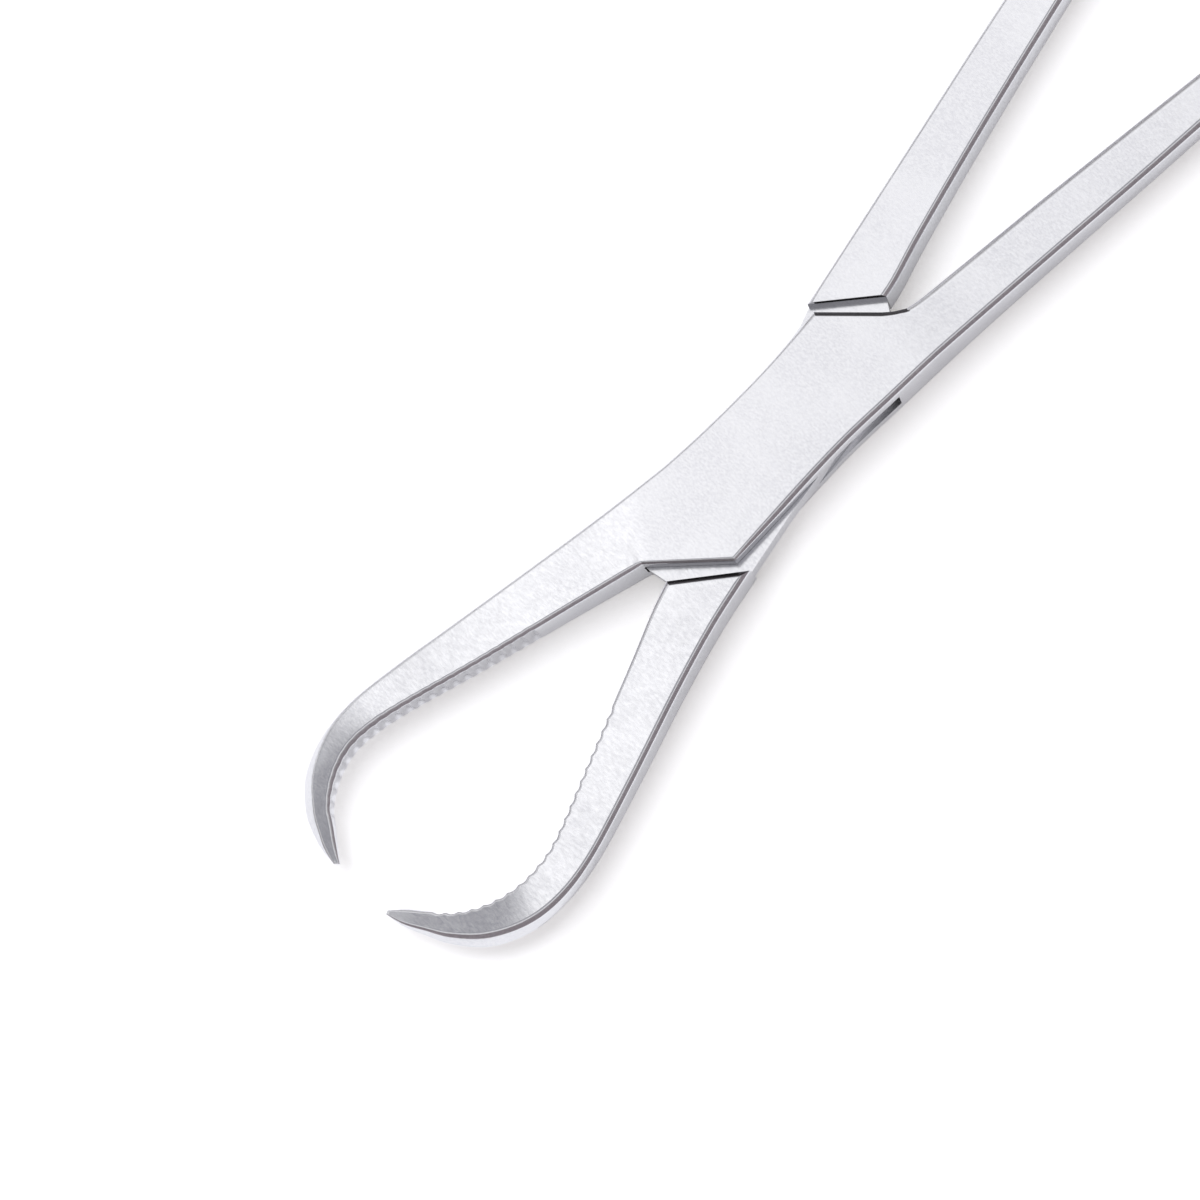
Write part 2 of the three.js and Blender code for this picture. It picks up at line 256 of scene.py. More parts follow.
# Noises: scale per metre, detail, factor on each axis, and turn about Z.
GRAIN = (3600, 2, (1.0, 0.4, 0.7), math.radians(20))
SPECKLE = (5200, 2, (1.0, 0.5, 1.0), math.radians(20))
CLOUD = (130, 3, (1.0, 1.0, 1.0), 0.0)
MARKS = (1500, 3, (1.0, 0.25, 0.4), -0.5)
# Values of each noise between which it goes from nothing to full.
GRAIN_RANGE = (0.25, 0.75)
SPECKLE_RANGE = (0.3, 0.7)
CLOUD_RANGE = (0.35, 0.65)
MARKS_RANGE = (0.42, 0.7)
# Distances from the pivot, in metres, between which the file marks come up and go away again.
MARKS_START = (-0.0445, -0.0415)
MARKS_END = (-0.0365, -0.0395)

# ---------------------------------------------------------------- camera, light and room

CAMERA_TARGET = (-22.9, 2.2, BOX_THICKNESS)
CAMERA_OFFSET = (0, -80, 340)  # from its target
CAMERA_TURN = math.radians(47.5)  # how steeply the forceps lies across the picture
CAMERA_SENSOR = 36
CAMERA_LENS = 109

KEY_PLACE = (0.0, 0.3, 1.06)  # metres
KEY_SIZE = 0.6
KEY_ENERGY = 5.2
KEY_COLOUR = (0.96, 0.98, 1.0)

TABLE_HALF_WIDTH = 4  # metres
TABLE_COLOUR = (0.88, 0.88, 0.9, 1)
TABLE_ROUGHNESS = 0.9
TABLE_GLOW = 0.33  # overexposure of the white table
TABLE_GLOW_COLOUR = (1, 0.965, 0.91, 1)
GLOW_MIRRORED = 0.25  # the share of it that the steel mirrors

# The softbox on the ceiling, in slopes from straight up: where each side starts and ends to glow.
SOFTBOX_SLANT = 0.5
SOFTBOX_LEFT = (-0.34, -0.27)
SOFTBOX_RIGHT = (0.75, 0.5)
SOFTBOX_NEAR = (0.08, 0.17)
SOFTBOX_FAR = (1.0, 0.7)
SOFTBOX_FADE = (-0.05, 0.06)
SOFTBOX_LEFT_COLOUR = (1.2, 1.2, 1.22, 1)
SOFTBOX_COLOUR = (0.96, 0.96, 0.985, 1)

# The room round it, by the share of +Z or +Y in a direction.
CEILING = (0.8, 0.88)
CEILING_COLOUR = (0.32, 0.32, 0.345, 1)
PANEL_COLOUR = (0.72, 0.72, 0.74, 1)  # between the ceiling and the dark foot of the walls
DARK_TILT = 0.22  # the dark foot reaches higher at -Y
DARK_TOP = (0.31, 0.42)
WALL_COLOUR = (0.22, 0.195, 0.21, 1)
BACK_WALL = (-0.1, 0.5)  # where the lighter wall at +Y starts and is full
BACK_WALL_COLOUR = (0.3, 0.29, 0.3, 1)
HORIZON = 0.001  # keeps the slopes from being divided by nothing
BACKDROP_COLOUR = (1.0, 1.0, 1.0, 1)  # what the camera sees past the table


# ---------------------------------------------------------------- curves


def along(rows, t):
    """The cross-section at t, from 0 to 1, on smooth curves through the rows."""
    rows = np.asarray(rows, float)
    last = len(rows) - 1
    place = min(max(t, 0.0), 1.0) * last
    i = min(int(place), last - 1)
    f = place - i
    before, here, there, after = rows[max(i - 1, 0)], rows[i], rows[i + 1], rows[min(i + 2, last)]
    leave, arrive = (there - before) / 2, (after - here) / 2
    cubic = 2 * here - 2 * there + leave + arrive
    square = -3 * here + 3 * there - 2 * leave - arrive
    return cubic * f**3 + square * f**2 + leave * f + here


def stretch(rows, steps, first=0.0):
    return [along(rows, first + (1 - first) * i / steps) for i in range(steps + 1)]


def between(a, b, steps):
    """Cross-sections on straight lines from a to b, without a and b themselves."""
    a, b = np.asarray(a, float), np.asarray(b, float)
    return [a + (b - a) * i / steps for i in range(1, steps)]


def jaw(rows, inner):
    """A jaw from its point to the box: its cross-sections, and how deep the teeth bite at each."""
    fine = np.linspace(0, 1, CURVE_SAMPLES)
    edge = np.array([along(rows, t)[inner] for t in fine])
    run = np.concatenate(([0.0], np.cumsum(np.linalg.norm(np.diff(edge, axis=0), axis=1))))
    serrated = TEETH * TOOTH_PITCH
    per_tooth = len(TOOTH_PROFILE)
    distances = list(np.linspace(0, PLAIN_TIP, TIP_STEPS)[:-1])
    bites = [0.0] * len(distances)
    for i in range(TEETH * per_tooth):
        distances.append(PLAIN_TIP + i * TOOTH_PITCH / per_tooth)
        bites.append(TOOTH_DEPTH * TOOTH_PROFILE[i % per_tooth])
    plain = np.linspace(PLAIN_TIP + serrated, run[-1], PLAIN_STEPS)
    distances.extend(plain)
    bites.extend([0.0] * len(plain))
    return [along(rows, np.interp(d, run, fine)) for d in distances], bites


# ---------------------------------------------------------------- meshes


def flank(half_thickness, bevel, lean):
    """Half of a side wall, from the middle plane up and on to the face: (inset, height) pairs."""
    drop = BEVEL_DROP * bevel
    base = half_thickness - drop

    def wall(height):
        return lean * (height / half_thickness) ** LEAN_POWER

    corner = wall(base)
    soft = BEVEL_SOFTNESS
    line = [(wall(base * i / FLANK_STEPS), base * i / FLANK_STEPS) for i in range(FLANK_STEPS)]
    low = base - soft * drop
    line.append((wall(low), low))
    for knot, before, after in (
        ((corner, base), (wall(low), low), (corner + soft * bevel, base + soft * drop)),
        (
            (corner + bevel, half_thickness),
            (corner + (1 - soft) * bevel, base + (1 - soft) * drop),
            (corner + (1 + soft) * bevel, half_thickness),
        ),
    ):
        for i in range(1 if knot[1] == base else 0, CORNER_STEPS + 1):
            t = i / CORNER_STEPS
            shares = ((1 - t) ** 2, 2 * t * (1 - t), t * t)
            axes = zip(before, knot, after)
            line.append(tuple(sum(share * value for share, value in zip(shares, axis)) for axis in axes))
    line.append((line[-1][0] + FLAT_MARGIN * min(1.0, half_thickness), half_thickness))
    return line


def mitres(points, open_end, start_share):
    """For each point of the outline, the outward direction that keeps both its sides parallel.

    The side across the start moves only by its share, which gives it a narrower bevel.
    """
    count = len(points)
    result = []
    for i in range(count):
        before = points[i] - points[i - 1]
        after = points[(i + 1) % count] - points[i]
        if open_end and i == count // 2 - 1:
            after = before
        if open_end and i == count // 2:
            before = after
        a = np.array([before[1], -before[0]]) / np.linalg.norm(before)
        b = np.array([after[1], -after[0]]) / np.linalg.norm(after)
        if i == 0:
            result.append(np.linalg.solve([a, b], [start_share, 1]))
        elif i == count - 1:
            result.append(np.linalg.solve([a, b], [1, start_share]))
        else:
            result.append((a + b) / (1 + a.dot(b)))
    return result


def clear(sections, bites, corners):
    """Leaves out the cross-sections that a sharp corner's mitre would reach past."""
    kept = [
        i
        for i, section in enumerate(sections)
        if all(i == c or math.dist(section[edge], sections[c][edge]) > MITRE_ROOM for c, edge in corners)
    ]
    return [sections[i] for i in kept], [bites[i] for i in kept]


def forging(sections, bites=None, toothed=None, open_end=False, start_share=1.0):
    """A flat forging with rounded edges as a bmesh, through its cross-sections, in millimetres."""
    count = len(sections)
    bites = bites or [0.0] * count
    order = [("lower", i) for i in range(count)] + [("upper", i) for i in reversed(range(count))]
    edges = {"lower": LOWER, "upper": UPPER}
    points = [sections[i][edges[edge]] for edge, i in order]
    directions = mitres(points, open_end, start_share)
    walls = []
    top_share = TOOTH_TOP_SHARE[toothed]
    for (edge, i), point, direction in zip(order, points, directions):
        s = sections[i]
        bite = bites[i] if edge == toothed else 0.0
        wall = []
        line = flank(s[THICKNESS] / 2, s[BEVEL[edge]], s[LEAN[edge]])
        edge_height = s[THICKNESS] / 2 - BEVEL_DROP * s[BEVEL[edge]]
        for inset, height in line:
            depth = min(max((edge_height - height) / TOOTH_RUN_OUT, 0.0), 1.0)
            place = point - direction * (inset + bite * (top_share + (1 - top_share) * depth))
            wall.append((place[0], place[1], height))
        walls.append(wall)
    bm = bmesh.new()
    rings = []
    levels = len(walls[0])
    for level in range(-(levels - 1), levels):
        ring = []
        for wall in walls:
            x, y, height = wall[abs(level)]
            ring.append(bm.verts.new((x, y, MID + math.copysign(height, level))))
        rings.append(ring)
    total = len(order)
    for low, high in zip(rings, rings[1:]):
        for i in range(total):
            if open_end and i == count - 1:
                continue
            j = (i + 1) % total
            bm.faces.new((low[i], low[j], high[j], high[i]))
    for ring, side in ((rings[0], -1), (rings[-1], 1)):
        rows = []
        for i in range(count):
            lower, upper = ring[i], ring[total - 1 - i]
            row = [lower]
            if i > 0 and (i < count - 1 or open_end):
                for c in range(1, FACE_COLUMNS + 1):
                    row.append(bm.verts.new(lower.co.lerp(upper.co, c / (FACE_COLUMNS + 1))))
            rows.append([*row, upper])
        for here, there in zip(rows, rows[1:]):
            if len(here) == len(there):
                strip = [(here[c], there[c], there[c + 1], here[c + 1]) for c in range(len(here) - 1)]
            else:
                strip = [(*here[::-1], *there)]
            for face in strip:
                bm.faces.new(face if side > 0 else face[::-1])
    bm.normal_update()
    return bm


def prism(outline, low, high):
    """An upright solid on a closed outline given anticlockwise, in millimetres."""
    bm = bmesh.new()
    bottom = [bm.verts.new((x, y, low)) for x, y in outline]
    top = [bm.verts.new((x, y, high)) for x, y in outline]
    for i in range(len(outline)):
        j = (i + 1) % len(outline)
        bm.faces.new((bottom[i], bottom[j], top[j], top[i]))
    bm.faces.new(bottom[::-1])
    bm.faces.new(top)
    return bm


def mesh_object(name, bm):
    """A bmesh in millimetres becomes an object in metres."""
    bmesh.ops.scale(bm, vec=(MM, MM, MM), verts=bm.verts)
    mesh = bpy.data.meshes.new(name)
    bm.to_mesh(mesh)
    bm.free()
    piece = bpy.data.objects.new(name, mesh)
    bpy.context.scene.collection.objects.link(piece)
    return piece


def applied(piece):
    """The piece with its modifiers made part of its mesh."""
    graph = bpy.context.evaluated_depsgraph_get()
    graph.update()
    mesh = bpy.data.meshes.new_from_object(piece.evaluated_get(graph))
    old = piece.data
    piece.modifiers.clear()
    piece.data = mesh
    bpy.data.meshes.remove(old)
    return piece


def boolean(piece, tool, operation):
    modifier = piece.modifiers.new("cut", "BOOLEAN")
    modifier.operation = operation
    modifier.solver = "EXACT"
    modifier.object = tool
    applied(piece)
    bpy.data.objects.remove(tool)


def merged(*parts):
    """Several bmeshes in one."""
    whole = bmesh.new()
    for part in parts:
        mesh = bpy.data.meshes.new("part")
        part.to_mesh(mesh)
        part.free()
        whole.from_mesh(mesh)
        bpy.data.meshes.remove(mesh)
    return whole


# ---------------------------------------------------------------- the ring end of an arm

VOXEL = 0.22
RING_EXTRA = 0.008  # what smoothing takes off the stock
EVEN_ROUNDS = 24  # passes that take the voxel steps away
EVEN_STEPS = (0.5, -0.52)  # each pass evens out, then swells back
FILLET_ROUNDS = 90  # passes that draw a fillet where ring, shank and bar meet
FILLET_STEP = 0.5
FILLET_REACH = 3.2
# Where the pieces of a ring end meet: x, and distance from the middle line.
JOINS = (
    (109.6, 14.2),
    (113.6, 8.9),
    (RATCHET_X, 8.6),
    (RATCHET_X + RATCHET_WIDTH, 8.9),
)


def ring_point(side, angle, radius=0.0):
    """A point on the middle line of the ring's stock, or that far outside it."""
    x = (RING_HALF_LENGTH + radius) * math.cos(angle)
    y = (RING_HALF_WIDTH + radius) * math.sin(angle)
    turn = side * RING_SPLAY
    return (
        RING_CENTRE[0] + x * math.cos(turn) - y * math.sin(turn),
        side * RING_CENTRE[1] + x * math.sin(turn) + y * math.cos(turn),
    )


def finger_ring(side):
    around, across = 120, 28
    bm = bmesh.new()
    grid = []
    for i in range(around):
        angle = 2 * math.pi * i / around
        loop = []
        for j in range(across):
            turn = 2 * math.pi * j / across
            stock = RING_STOCK_RADIUS + RING_EXTRA
            x, y = ring_point(side, angle, stock * math.cos(turn))
            loop.append(bm.verts.new((x, y, MID + stock * math.sin(turn))))
        grid.append(loop)
    for i in range(around):
        for j in range(across):
            k, m = (i + 1) % around, (j + 1) % across
            bm.faces.new((grid[i][j], grid[k][j], grid[k][m], grid[i][m]))
    bmesh.ops.recalc_face_normals(bm, faces=bm.faces)
    return bm


def set_on_side(bm, side):
    """Lifts a piece drawn round z = 0 to the middle plane, turned over about X for the +Y side."""
    if side > 0:
        bmesh.ops.transform(bm, matrix=Matrix.Rotation(math.pi, 4, "X"), verts=bm.verts)
    bmesh.ops.translate(bm, vec=(0, 0, MID), verts=bm.verts)
    return bm


def ratchet_blank(side):
    """The bar before its teeth are cut, with a rounded end."""
    near, far = RATCHET_X, RATCHET_X + RATCHET_WIDTH
    corner = RATCHET_CORNER
    outline = [(near, -RATCHET_ROOT), (far, -RATCHET_ROOT)]
    for start, x in ((0.0, far - corner), (math.pi / 2, near + corner)):
        for i in range(RATCHET_CORNER_STEPS + 1):
            angle = start + math.pi / 2 * i / RATCHET_CORNER_STEPS
            outline.append((x + corner * math.cos(angle), RATCHET_TIP - corner + corner * math.sin(angle)))
    bm = prism(outline, -RATCHET_OUTER, RATCHET_BLANK_TOP)
    return set_on_side(bm, side)


def ratchet_cutter(side):
    """What the milling cutter takes off the bar's face to leave the saw teeth."""
    crest = -RATCHET_HALF_GAP
    end = RATCHET_TIP + CUTTER_MARGIN
    stop = CUTTER_STOP - RATCHET_ROOT
    line = [(end, crest - RATCHET_DEPTH)]
    for i in range(RATCHET_TEETH):
        start = RATCHET_TIP - i * RATCHET_PITCH
        line.append((start, crest - RATCHET_DEPTH))
        line.append((start - RATCHET_PITCH, crest))
    line.extend([(stop, crest), (stop, CUTTER_HEIGHT), (end, CUTTER_HEIGHT)])
    near, far = RATCHET_X - CUTTER_MARGIN, RATCHET_X + RATCHET_WIDTH + CUTTER_MARGIN
    bm = prism(line[::-1], near, far)
    # The prism's axes become Y, Z and X.
    swap = Matrix(((0, 0, 1, 0), (1, 0, 0, 0), (0, 1, 0, 0), (0, 0, 0, 1)))
    bmesh.ops.transform(bm, matrix=swap, verts=bm.verts)
    set_on_side(bm, side)
    bmesh.ops.recalc_face_normals(bm, faces=bm.faces)
    return bm


def smoothed(mesh, side):
    """Takes the steps out of a remeshed ring end, and draws fillets at its joins."""
    co = np.empty(len(mesh.vertices) * 3)
    mesh.vertices.foreach_get("co", co)
    co = co.reshape(-1, 3) / MM
    pairs = np.empty(len(mesh.edges) * 2, int)
    mesh.edges.foreach_get("vertices", pairs)
    a, b = pairs.reshape(-1, 2).T
    degree = np.bincount(np.concatenate((a, b)), minlength=len(co))[:, None]

    def step(points, amount):
        total = np.zeros_like(points)
        for axis in range(3):
            total[:, axis] = np.bincount(a, points[b, axis], len(points))
            total[:, axis] += np.bincount(b, points[a, axis], len(points))
        return points + amount * (total / degree - points)

    for _ in range(EVEN_ROUNDS):
        for amount in EVEN_STEPS:
            co = step(co, amount)
    near = np.min([np.hypot(co[:, 0] - x, co[:, 1] - side * y) for x, y in JOINS], axis=0)
    weight = np.clip(1 - near / FILLET_REACH, 0, 1)[:, None]
    weight = weight * weight * (3 - 2 * weight)
    for _ in range(FILLET_ROUNDS):
        co = co + weight * (step(co, FILLET_STEP) - co)
    mesh.vertices.foreach_set("co", (co * MM).ravel())
    mesh.update()


def ring_end(rows, side):
    """Ring, rear of the shank and ratchet blank grown into one skin. Starts past JOIN_X."""
    shank = forging(stretch(rows, RING_END_STEPS, first=RING_END_START))
    blank = mesh_object("ring_end", merged(shank, finger_ring(side), ratchet_blank(side)))
    remesh = blank.modifiers.new("grow", "REMESH")
    remesh.mode = "VOXEL"
    remesh.voxel_size = VOXEL * MM
    applied(blank)
    smoothed(blank.data, side)
    bm = bmesh.new()
    bm.from_mesh(blank.data)
    bpy.data.objects.remove(blank)
    bmesh.ops.scale(bm, vec=(1 / MM,) * 3, verts=bm.verts)
    cut_off(bm, JOIN_X + JOIN_GAP / 2, keep_high=True)
    return bm


def cut_off(bm, x, keep_high):
    bmesh.ops.bisect_plane(
        bm,
        geom=bm.verts[:] + bm.edges[:] + bm.faces[:],
        plane_co=(x, 0, 0),
        plane_no=(1, 0, 0),
        clear_inner=keep_high,
        clear_outer=not keep_high,
    )


def with_ring_end(front, rows, side):
    """The plain forging, open at its rear, joined to its ring end in one closed skin."""
    cut_off(front, JOIN_X - JOIN_GAP / 2, keep_high=False)
    whole = merged(front, ring_end(rows, side))
    whole.edges.ensure_lookup_table()
    rim = [e for e in whole.edges if e.is_boundary]
    bmesh.ops.bridge_loops(whole, edges=rim)
    bmesh.ops.recalc_face_normals(whole, faces=whole.faces)
    return whole


# ---------------------------------------------------------------- the three pieces


def slot_tool():
    return prism(SLOT_OUTLINE, MID - SLOT_HEIGHT / 2, MID + SLOT_HEIGHT / 2)


def round_bar(radius, low, high, sides=96):
    outline = [
        (radius * math.cos(2 * math.pi * i / sides), radius * math.sin(2 * math.pi * i / sides))
        for i in range(sides)
    ]
    return prism(outline, low, high)


def pin_hole():
    return mesh_object("hole", round_bar(PIN_RADIUS + PIN_HAIRLINE, -1, BOX_THICKNESS + 1))


def tongue():
    """The thin plate between the shoulders, flush with the sides of the shut box."""
    rear_end = [on_shoulder(12.1), (14.9, 4.7), on_shoulder(17.25)]
    rear_heel = [(16.4, -0.75), (15.2, -2.2), (10.9, -5.3)]
    lower_side = [(5.0, -5.15), (0.0, -5.25), (-5.0, -5.45)]
    front_end = [on_shoulder(-11.6), (-14.9, -4.7), on_shoulder(-17.3)]
    front_heel = [(-17.5, 2.3), (-15.0, 3.4), (-10.9, 5.3)]
    upper_side = [(-5.0, 5.4), (0.0, 5.32), (5.0, 5.33), (8.0, 5.27), (10.1, 5.36)]
    outline = [*rear_end, *rear_heel, *lower_side, *front_end, *front_heel, *upper_side]
    return prism(outline[::-1], MID - TONGUE_THICKNESS / 2, MID + TONGUE_THICKNESS / 2)


def paint_seam_shade(piece):
    """Marks the ends of cheeks and shoulders, for painted shade in the seams of the box lock."""
    layer = piece.data.attributes.new("seam", "FLOAT", "FACE")
    nearest, farthest = SEAM_SPAN
    values = []
    for polygon in piece.data.polygons:
        x, y = polygon.center.x / MM, polygon.center.y / MM
        normal = polygon.normal
        beside = any(abs(y - offset - slope * x) < SEAM_REACH for offset, slope in CHEEK_ENDS + SHOULDERS)
        across = abs(normal.x - normal.y) < SEAM_TURN * abs(normal.x + normal.y)
        if not (beside and across and nearest < abs(x) < farthest):
            values.append(0.0)
            continue
        # Painted shade is strongest on the faces turned towards the finger rings.
        slant = (normal.x + normal.y) / math.sqrt(2)
        low, high, most = SEAM_REAR if slant > 0 else SEAM_FRONT
        values.append(most * min(max((abs(slant) - low) / (high - low), 0.0), 1.0))
    layer.data.foreach_set("value", values)
    return piece


def shaded(piece):
    """Smooth shading that stops at real edges."""
    bm = bmesh.new()
    bm.from_mesh(piece.data)
    bmesh.ops.remove_doubles(bm, verts=bm.verts, dist=WELD_DISTANCE)
    for face in bm.faces:
        face.smooth = True
    for edge in bm.edges:
        edge.smooth = len(edge.link_faces) == 2 and edge.calc_face_angle(0) < SHARP_ABOVE
    bm.to_mesh(piece.data)
    bm.free()
    return piece


def box_arm():
    sections, bites = jaw(BOX_ARM_JAW, LOWER)
    cheeks = stretch(BOX_ARM_CHEEKS, CHEEK_STEPS)
    shank = stretch(BOX_ARM_SHANK, SHANK_STEPS)
    sections = [
        *sections,
        *between(sections[-1], cheeks[0], CHEEK_END_STEPS),
        *cheeks,
        *between(cheeks[-1], shank[0], CHEEK_END_STEPS),
        *shank,
    ]
    bites = bites + [0.0] * (len(sections) - len(bites))
    front_corner = next(i for i, section in enumerate(sections) if section is cheeks[0])
    rear_corner = next(i for i, section in enumerate(sections) if section is cheeks[-1])
    sections, bites = clear(sections, bites, ((front_corner, LOWER), (rear_corner, UPPER)))
    front = forging(sections, bites, "lower", open_end=True)
    arm = mesh_object("box_arm_forging", with_ring_end(front, BOX_ARM_SHANK, -1))
    boolean(arm, mesh_object("slot", slot_tool()), "DIFFERENCE")
    boolean(arm, pin_hole(), "DIFFERENCE")
    boolean(arm, mesh_object("milling", ratchet_cutter(-1)), "DIFFERENCE")
    return arm


def tongue_arm():
    sections, bites = jaw(TONGUE_ARM_JAW, UPPER)
    sections, bites = clear(sections, bites, ((len(sections) - 1, LOWER),))
    arm = mesh_object("tongue_arm_forging", forging(sections, bites, "upper"))
    sections = stretch(TONGUE_ARM_SHANK, SHANK_STEPS)
    sections, _ = clear(sections, [0.0] * len(sections), ((0, UPPER),))
    front = forging(sections, open_end=True, start_share=SHOULDER_SHARE)
    shank = mesh_object("shank", with_ring_end(front, TONGUE_ARM_SHANK, 1))
    boolean(arm, mesh_object("tongue", tongue()), "UNION")
    boolean(arm, shank, "UNION")
    boolean(arm, pin_hole(), "DIFFERENCE")
    boolean(arm, mesh_object("milling", ratchet_cutter(1)), "DIFFERENCE")
    return arm


def pin():
    return mesh_object("pivot_rivet", round_bar(PIN_RADIUS, 0, BOX_THICKNESS))


def turned_open(piece, angle):
    piece.data.transform(Matrix.Rotation(angle, 4, "Z"))
    return piece


# ---------------------------------------------------------------- materials


class Graph:
    """Short ways to add nodes to a material or a world."""

    def __init__(self, owner):
        owner.use_nodes = True
        self.nodes = owner.node_tree.nodes
        self.links = owner.node_tree.links

    def feed(self, socket, value):
        if isinstance(value, (int, float, tuple)):
            socket.default_value = value
        else:
            self.links.new(value, socket)

    def combine(self, operation, *values):
        node = self.nodes.new("ShaderNodeMath")
        node.operation = operation
        for socket, value in zip(node.inputs, values):
            self.feed(socket, value)
        return node.outputs["Value"]

    def ramp(self, value, start, end, to_start=0.0, to_end=1.0):
        """A smooth step as the value goes from start to end."""
        node = self.nodes.new("ShaderNodeMapRange")
        node.interpolation_type = "SMOOTHSTEP"
        self.feed(node.inputs["Value"], value)
        node.inputs["From Min"].default_value = start
        node.inputs["From Max"].default_value = end
        node.inputs["To Min"].default_value = to_start
        node.inputs["To Max"].default_value = to_end
        return node.outputs["Result"]

    def mix(self, factor, a, b):
        """Colour a where the factor is 0, and b where it is 1."""
        node = self.nodes.new("ShaderNodeMix")
        node.data_type = "RGBA"
        self.feed(node.inputs["Factor"], factor)
        self.feed(node.inputs[6], a)
        self.feed(node.inputs[7], b)
        return node.outputs[2]

    def noise(self, place, scale, detail, factors, turn):
        mapping = self.nodes.new("ShaderNodeMapping")
        mapping.inputs["Scale"].default_value = factors
        mapping.inputs["Rotation"].default_value = (0, 0, turn)
        self.links.new(place, mapping.inputs["Vector"])
        node = self.nodes.new("ShaderNodeTexNoise")
        node.inputs["Scale"].default_value = scale
        node.inputs["Detail"].default_value = detail
        self.links.new(mapping.outputs["Vector"], node.inputs["Vector"])
        return node.outputs["Fac"]

    def axes(self, place):
        node = self.nodes.new("ShaderNodeSeparateXYZ")
        self.links.new(place, node.inputs["Vector"])
        return node.outputs["X"], node.outputs["Y"], node.outputs["Z"]


def steel(name):
    """Satin-finished stainless steel, with painted shade in the seams of the box lock."""
    material = bpy.data.materials.new(name)
    graph = Graph(material)
    nodes, links = graph.nodes, graph.links
    shader = nodes["Principled BSDF"]
    shader.inputs["Metallic"].default_value = 1.0
    place = nodes.new("ShaderNodeTexCoord").outputs["Object"]
    grain = graph.noise(place, *GRAIN)
    speckle = graph.noise(place, *SPECKLE)
    cloud = graph.noise(place, *CLOUD)
    seam = nodes.new("ShaderNodeAttribute")
    seam.attribute_name = "seam"

    # Cross-wise file marks where the jaws start to bend.
    x, _, _ = graph.axes(place)
    bend = graph.combine("MULTIPLY", graph.ramp(x, *MARKS_START), graph.ramp(x, *MARKS_END))
    streaks = graph.ramp(graph.noise(place, *MARKS), *MARKS_RANGE)
    marks = graph.combine("MULTIPLY", bend, streaks)

    colour = graph.mix(graph.ramp(cloud, *CLOUD_RANGE), DARK_STEEL, BRIGHT_STEEL)
    colour = graph.mix(graph.ramp(speckle, *SPECKLE_RANGE, 0.0, SPECKLE_SHARE), colour, SPECKLE_STEEL)
    colour = graph.mix(graph.combine("MULTIPLY", marks, MARKED_SHARE), colour, MARKED_STEEL)
    # Painted shade darkens the seams of the box lock.
    colour = graph.mix(graph.combine("MULTIPLY", seam.outputs["Fac"], SEAM_SHADE_SHARE), colour, SEAM_SHADE)
    links.new(colour, shader.inputs["Base Color"])
    links.new(graph.ramp(grain, *GRAIN_RANGE, *ROUGHNESS), shader.inputs["Roughness"])

    bump = nodes.new("ShaderNodeBump")
    bump.inputs["Strength"].default_value = BUMP_STRENGTH
    bump.inputs["Distance"].default_value = BUMP_DEPTH
    links.new(grain, bump.inputs["Height"])
    links.new(bump.outputs["Normal"], shader.inputs["Normal"])
    return material


# ---------------------------------------------------------------- stage, light and camera


def camera():
    """Looks down on the jaws and the box lock, with the shanks running out at the top right."""
    target = Vector(CAMERA_TARGET) * MM
    place = target + Vector(CAMERA_OFFSET) * MM
    forward = (target - place).normalized()
    picture_up = Vector((math.sin(CAMERA_TURN), math.cos(CAMERA_TURN), 0))
    right = forward.cross(picture_up).normalized()
    up = right.cross(forward)
    data = bpy.data.cameras.new("camera")
    data.sensor_width = CAMERA_SENSOR
    data.lens = CAMERA_LENS
    data.clip_start = 0.01
    piece = bpy.data.objects.new("camera", data)
    turn = Matrix((right, up, -forward)).transposed().to_4x4()
    piece.matrix_world = Matrix.Translation(place) @ turn
    bpy.context.scene.collection.objects.link(piece)
    bpy.context.scene.camera = piece


def key_light():
    """A large lamp behind the forceps. It lights the table, and isn't mirrored in the steel."""
    data = bpy.data.lights.new("key", "AREA")
    data.shape = "SQUARE"
    data.size = KEY_SIZE
    data.energy = KEY_ENERGY
    data.color = KEY_COLOUR
    place = Vector(KEY_PLACE)
    piece = bpy.data.objects.new("key", data)
    piece.location = place
    piece.rotation_euler = (-place).to_track_quat("-Z", "Y").to_euler()
    piece.visible_camera = False
    piece.visible_glossy = False
    bpy.context.scene.collection.objects.link(piece)


def floor():
    """A white table, a little overexposed."""
    bm = bmesh.new()
    bmesh.ops.create_grid(bm, x_segments=1, y_segments=1, size=TABLE_HALF_WIDTH)
    mesh = bpy.data.meshes.new("floor")
    bm.to_mesh(mesh)
    bm.free()
    piece = bpy.data.objects.new("floor", mesh)
    bpy.context.scene.collection.objects.link(piece)
    material = bpy.data.materials.new("white_table")
    graph = Graph(material)
    shader = graph.nodes["Principled BSDF"]
    shader.inputs["Base Color"].default_value = TABLE_COLOUR
    shader.inputs["Roughness"].default_value = TABLE_ROUGHNESS
    shader.inputs["Specular IOR Level"].default_value = 0.0
    shader.inputs["Emission Color"].default_value = TABLE_GLOW_COLOUR
    seen = graph.nodes.new("ShaderNodeLightPath").outputs["Is Camera Ray"]
    mirrored = TABLE_GLOW * GLOW_MIRRORED
    glow = graph.combine("MULTIPLY_ADD", seen, TABLE_GLOW - mirrored, mirrored)
    graph.links.new(glow, shader.inputs["Emission Strength"])
    mesh.materials.append(material)


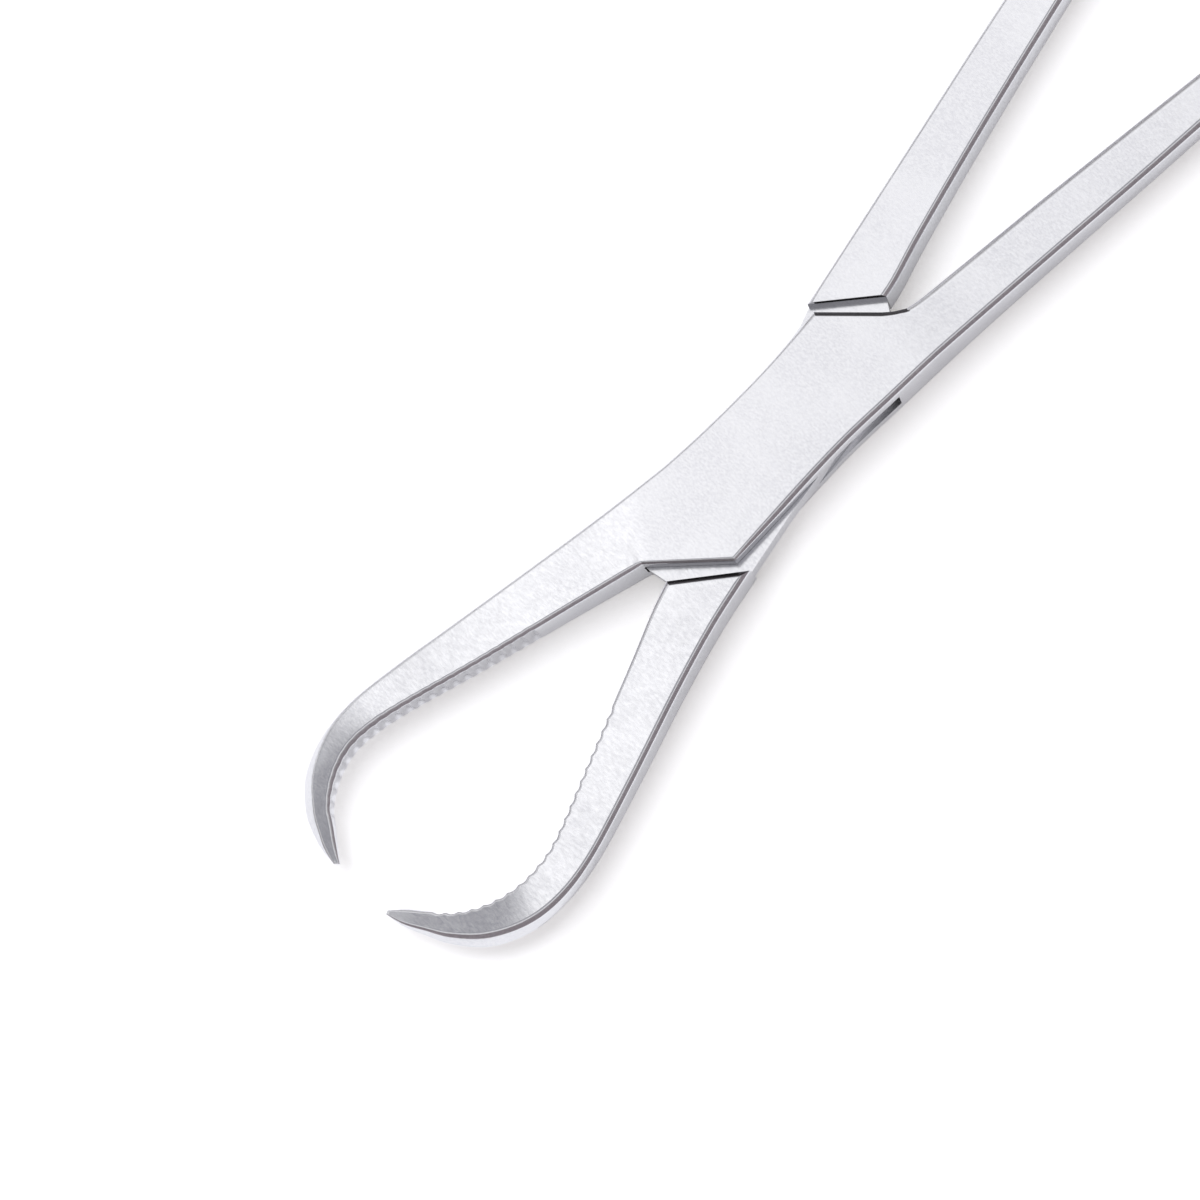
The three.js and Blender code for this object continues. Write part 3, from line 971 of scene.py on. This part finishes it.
def world():
    """A softbox in a grey ceiling, and pale walls with a dark foot, which the bevels mirror."""
    studio = bpy.data.worlds.new("studio")
    bpy.context.scene.world = studio
    graph = Graph(studio)
    nodes, links = graph.nodes, graph.links
    x, y, z = graph.axes(nodes.new("ShaderNodeTexCoord").outputs["Generated"])

    height = graph.combine("MAXIMUM", z, HORIZON)
    across = graph.combine("DIVIDE", x, height)
    along_y = graph.combine("DIVIDE", y, height)
    slanted = graph.combine("SUBTRACT", across, graph.combine("MULTIPLY", along_y, SOFTBOX_SLANT))
    box = graph.combine("MULTIPLY", graph.ramp(slanted, *SOFTBOX_LEFT), graph.ramp(across, *SOFTBOX_RIGHT))
    box = graph.combine("MULTIPLY", box, graph.ramp(along_y, *SOFTBOX_NEAR))
    box = graph.combine("MULTIPLY", box, graph.ramp(along_y, *SOFTBOX_FAR))
    lamp = graph.mix(graph.ramp(across, *SOFTBOX_FADE), SOFTBOX_LEFT_COLOUR, SOFTBOX_COLOUR)

    wall = graph.mix(graph.ramp(y, *BACK_WALL), WALL_COLOUR, BACK_WALL_COLOUR)
    rise = graph.combine("ADD", z, graph.combine("MULTIPLY", y, DARK_TILT))
    room = graph.mix(graph.ramp(rise, *DARK_TOP), wall, PANEL_COLOUR)
    room = graph.mix(graph.ramp(z, *CEILING), room, CEILING_COLOUR)

    background = nodes["Background"]
    links.new(graph.mix(box, room, lamp), background.inputs["Color"])
    backdrop = nodes.new("ShaderNodeBackground")
    backdrop.inputs["Color"].default_value = BACKDROP_COLOUR
    seen = nodes.new("ShaderNodeLightPath").outputs["Is Camera Ray"]
    choice = nodes.new("ShaderNodeMixShader")
    links.new(seen, choice.inputs["Fac"])
    links.new(background.outputs["Background"], choice.inputs[1])
    links.new(backdrop.outputs["Background"], choice.inputs[2])
    links.new(choice.outputs["Shader"], nodes["World Output"].inputs["Surface"])


# ---------------------------------------------------------------- the scene

camera()

female = turned_open(paint_seam_shade(shaded(box_arm())), -REST_ANGLE)
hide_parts("box_arm")
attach(female, "box_arm_body")

male = turned_open(paint_seam_shade(shaded(tongue_arm())), REST_ANGLE)
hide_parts("tongue_arm")
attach(male, "tongue_arm_body")

rivet = turned_open(shaded(pin()), -REST_ANGLE)
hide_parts("pivot_pin")
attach(rivet, "box_arm_body")

satin = steel("satin_steel")
for piece in (female, male, rivet):
    piece.data.materials.clear()
    piece.data.materials.append(satin)

floor()
world()
key_light()
bpy.context.scene.view_settings.view_transform = "Standard"
